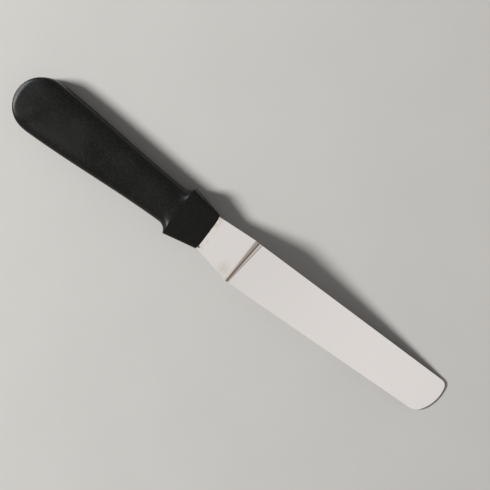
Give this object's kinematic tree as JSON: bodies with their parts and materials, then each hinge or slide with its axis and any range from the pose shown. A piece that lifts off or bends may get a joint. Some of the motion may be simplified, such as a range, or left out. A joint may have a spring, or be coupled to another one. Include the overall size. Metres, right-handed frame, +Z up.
{
  "type": "offset spatula",
  "caption": "Offset icing spatula: a bent flat steel blade with a rounded tip, moulded into a black plastic handle, lying working side up.",
  "frame": {"origin": "under the middle of the spatula, on the surface that it lies on with the butt of its handle and the tip of its blade", "axes": "+X runs along the spatula from the butt of the handle to the tip of the blade, +Z is up out of the surface that it lies on, with the blade's working side up"},
  "size_m": [0.2747, 0.0314, 0.0222],
  "materials": {
    "stainless_steel": "fine satin polish",
    "handle_plastic": "fine matt moulding"
  },
  "bodies": {
    "root": {"blade": "stainless_steel", "handle": "handle_plastic"}
  },
  "joints": []
}
